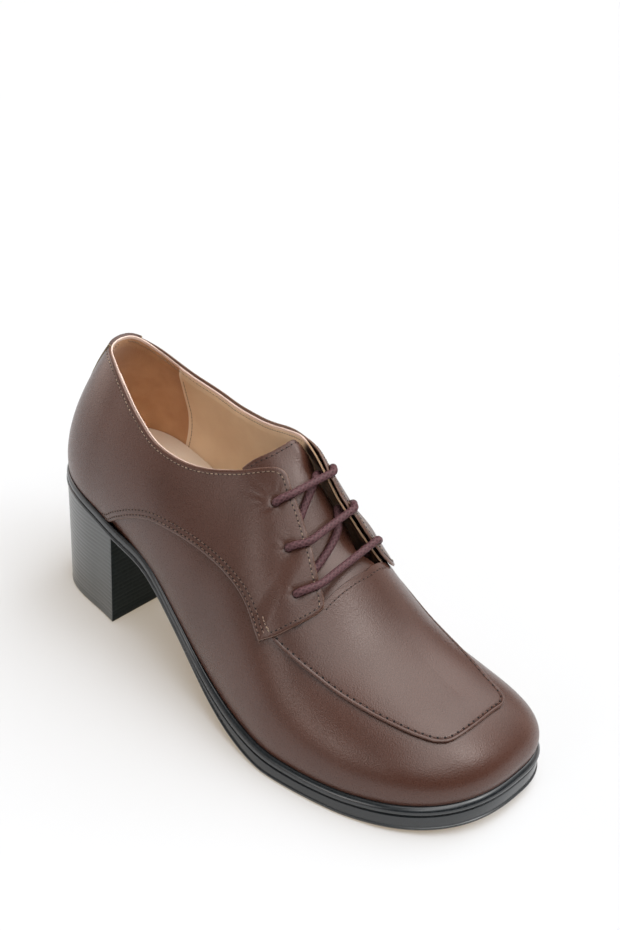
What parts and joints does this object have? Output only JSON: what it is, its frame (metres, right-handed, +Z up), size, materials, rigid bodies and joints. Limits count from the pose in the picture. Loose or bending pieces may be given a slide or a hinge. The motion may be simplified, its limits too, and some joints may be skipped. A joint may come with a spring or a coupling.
{
  "type": "block-heel lace-up derby shoe",
  "caption": "Right lace-up derby shoe with an apron toe, brown leather upper, black rubber sole and a straight block heel; made to hold a foot.",
  "frame": {"origin": "middle of the bounding box at floor height, on the plane the heel and the ball stand on", "axes": "+X towards the toe, +Y towards the inner (medial) side, +Z up"},
  "size_m": [0.232, 0.0906, 0.1178],
  "materials": {
    "brown_leather": "smooth chocolate brown leather, soft satin gloss",
    "sock_leather": "matt beige lining leather",
    "black_rubber": "satin black rubber",
    "black_stacked_heel": "satin black block with fine level ribs",
    "waxed_cord": "round waxed cord, mauve brown"
  },
  "bodies": {
    "root": {"upper": "brown_leather", "quarter_lateral": "brown_leather", "quarter_medial": "brown_leather", "apron": "brown_leather", "tongue": "brown_leather", "back_tab": "brown_leather", "insole": "sock_leather", "outsole": "black_rubber", "heel": "black_stacked_heel", "top_lift": "black_rubber", "lace": "waxed_cord"}
  },
  "joints": []
}
